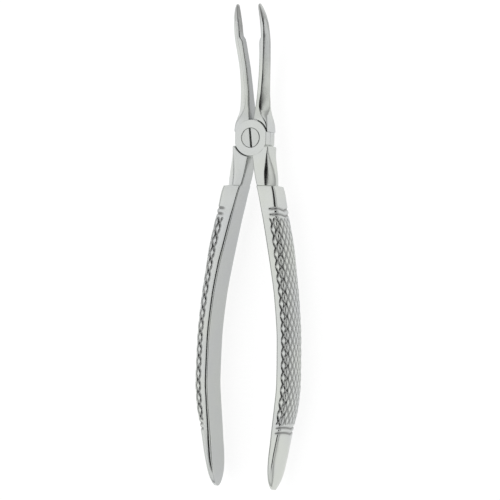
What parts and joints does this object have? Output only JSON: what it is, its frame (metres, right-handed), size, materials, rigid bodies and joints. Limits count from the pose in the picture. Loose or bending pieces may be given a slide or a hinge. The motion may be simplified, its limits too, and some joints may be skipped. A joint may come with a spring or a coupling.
{
  "type": "extraction forceps",
  "caption": "Slender screw-jointed extraction forceps with fine upward-curved beaks, long bowed handles and a diamond-knurled grip.",
  "frame": {"origin": "where the pivot axis meets the joint's rear face", "axes": "+Y along the length towards the beaks, +Z along the pivot axis from the joint's rear face to the screw's head, which is the side that the beaks curve towards, +X across"},
  "size_m": [0.0402, 0.1786, 0.0158],
  "materials": {
    "forged_steel": "satin polished stainless steel",
    "screw_steel": "ground stainless steel"
  },
  "bodies": {
    "rear": {"rear_half": "forged_steel", "pivot_screw": "screw_steel"},
    "front": {"front_half": "forged_steel"}
  },
  "joints": [
    {"name": "pivot_hinge", "type": "hinge", "parent": "rear", "child": "front", "pos_m": [0, 0, 0.0038], "axis": [0, 0, 1], "range_deg": [-9, 38]}
  ]
}
